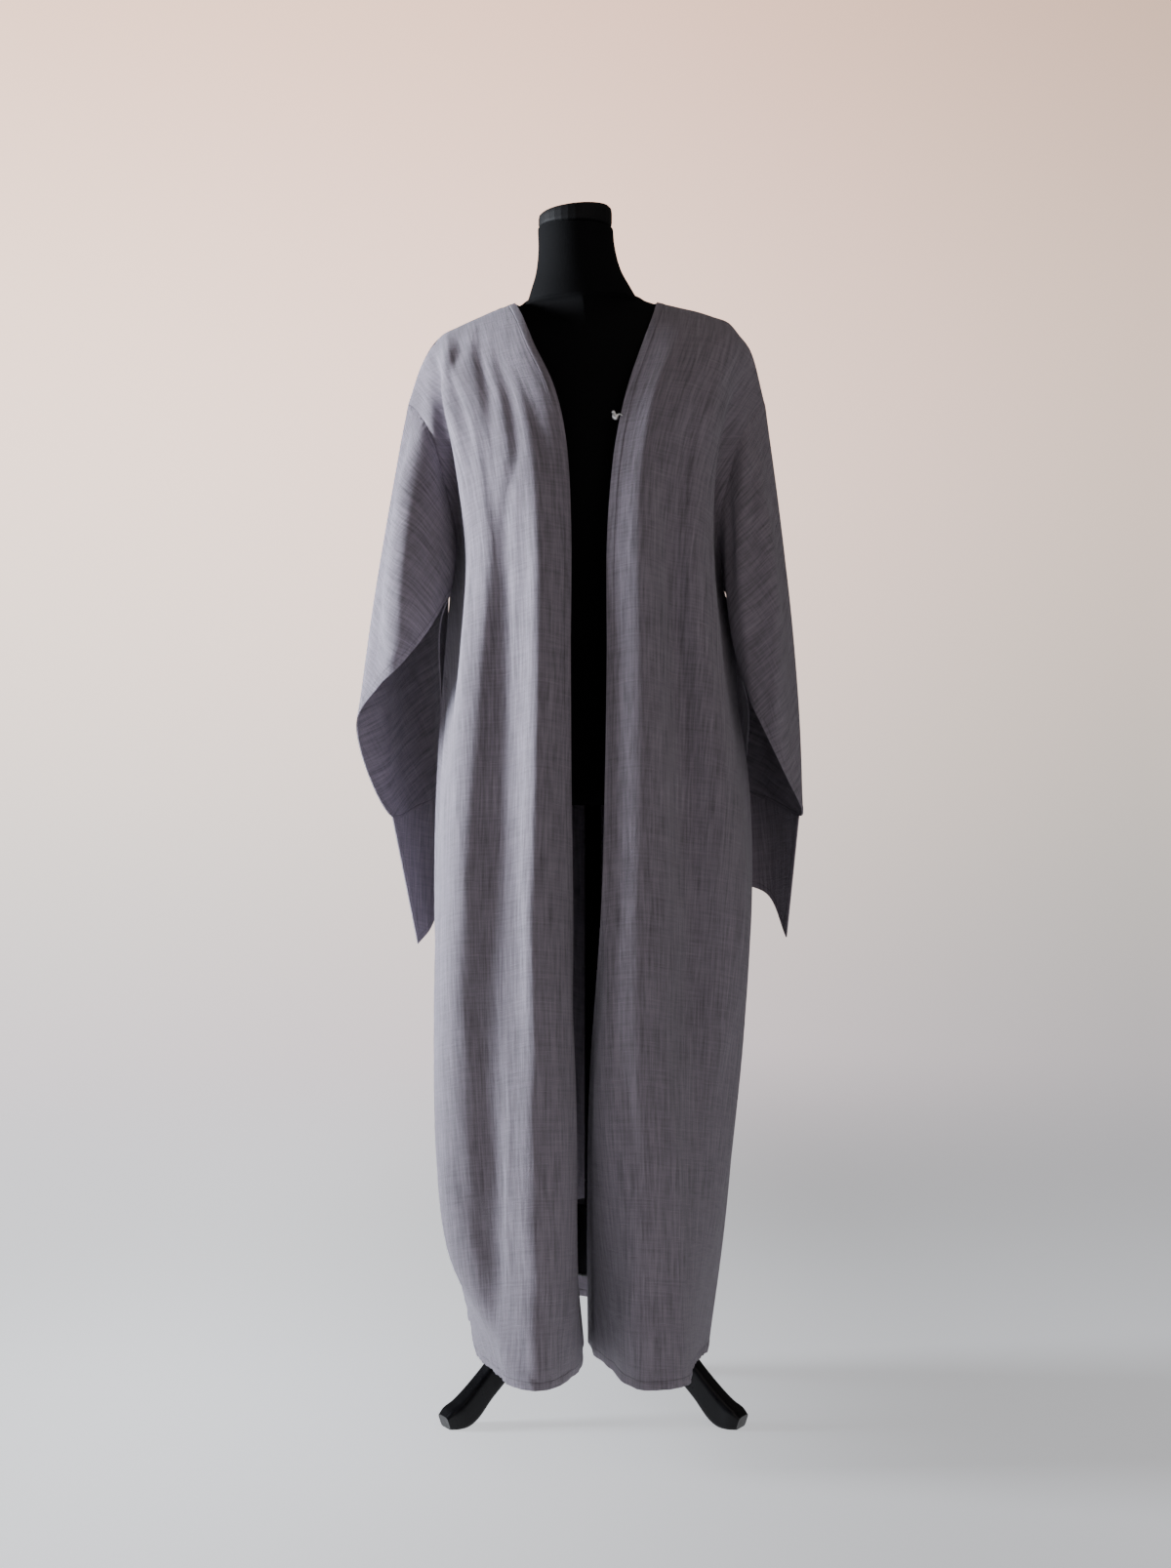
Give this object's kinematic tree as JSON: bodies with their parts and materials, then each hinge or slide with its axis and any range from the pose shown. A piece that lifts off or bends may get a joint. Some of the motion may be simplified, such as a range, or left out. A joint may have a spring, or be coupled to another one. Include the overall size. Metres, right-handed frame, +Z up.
{
  "type": "abaya cloak on a dress form",
  "caption": "Long open-front linen-look cloak with dropped sleeves and pointed cuffs, worn by a limbless dress form on a tripod stand.",
  "frame": {"origin": "on the floor, under the middle of the whole part's bounding box", "axes": "+Z up, the cloak's open front towards -Y, the wearer's left towards +X"},
  "size_m": [0.623, 0.5385, 1.6799],
  "materials": {
    "linen": "matt slub weave, mid grey",
    "jersey": "matt black jersey",
    "cap": "smooth black",
    "wood": "black satin lacquer",
    "silver": "polished"
  },
  "bodies": {
    "root": {"front_right": "linen", "front_left": "linen", "back": "linen", "sleeve_right": "linen", "sleeve_left": "linen", "sleeve_point_right": "linen", "sleeve_point_left": "linen", "hook": "silver", "form_torso": "jersey", "neck_cap": "cap", "pole": "wood", "hub": "wood", "leg_right": "wood", "leg_left": "wood", "leg_back": "wood"}
  },
  "joints": []
}
